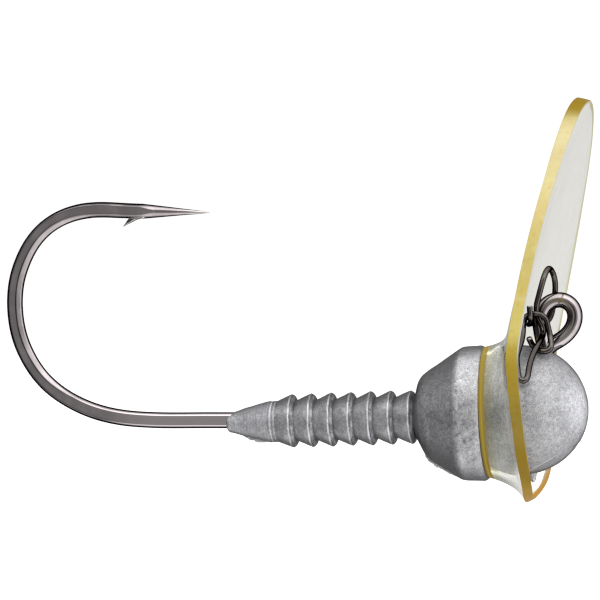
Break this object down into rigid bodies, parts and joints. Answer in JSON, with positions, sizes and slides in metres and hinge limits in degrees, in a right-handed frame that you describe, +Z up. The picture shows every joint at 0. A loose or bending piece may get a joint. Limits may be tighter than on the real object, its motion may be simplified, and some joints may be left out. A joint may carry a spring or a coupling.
{
  "type": "lipped jig head lure",
  "caption": "Lead jig head with a cast-in barbed hook, ridged bait keeper, clear oval diving lip seated behind the ball, and a bent-wire snap hung in the line eye.",
  "frame": {"origin": "centre of the hole of the hook's line eye, in the lure's plane of symmetry", "axes": "+X along the head axis from the bait keeper to the ball's nose; +Z up, the side of the line eye, the hook point and the tall side of the lip; Y across"},
  "size_m": [0.0604, 0.0348, 0.0391],
  "materials": {
    "hook_wire": "polished",
    "lead": "satin",
    "clear_lip": "gloss",
    "snap_wire": "polished"
  },
  "bodies": {
    "head": {"hook": "hook_wire", "head_casting": "lead"},
    "lip": {"lip_disc": "clear_lip"},
    "snap": {"snap": "snap_wire"}
  },
  "joints": [
    {"name": "lip_turn", "type": "hinge", "parent": "head", "child": "lip", "pos_m": [-0.00361, 0, -0.0088], "axis": [1, 0, 0], "range_deg": [-20, 45]},
    {"name": "snap_swing", "type": "hinge", "parent": "head", "child": "snap", "pos_m": [-0.00161, 0, -0.00025], "axis": [0, 0, 1], "range_deg": [0, 32]}
  ]
}
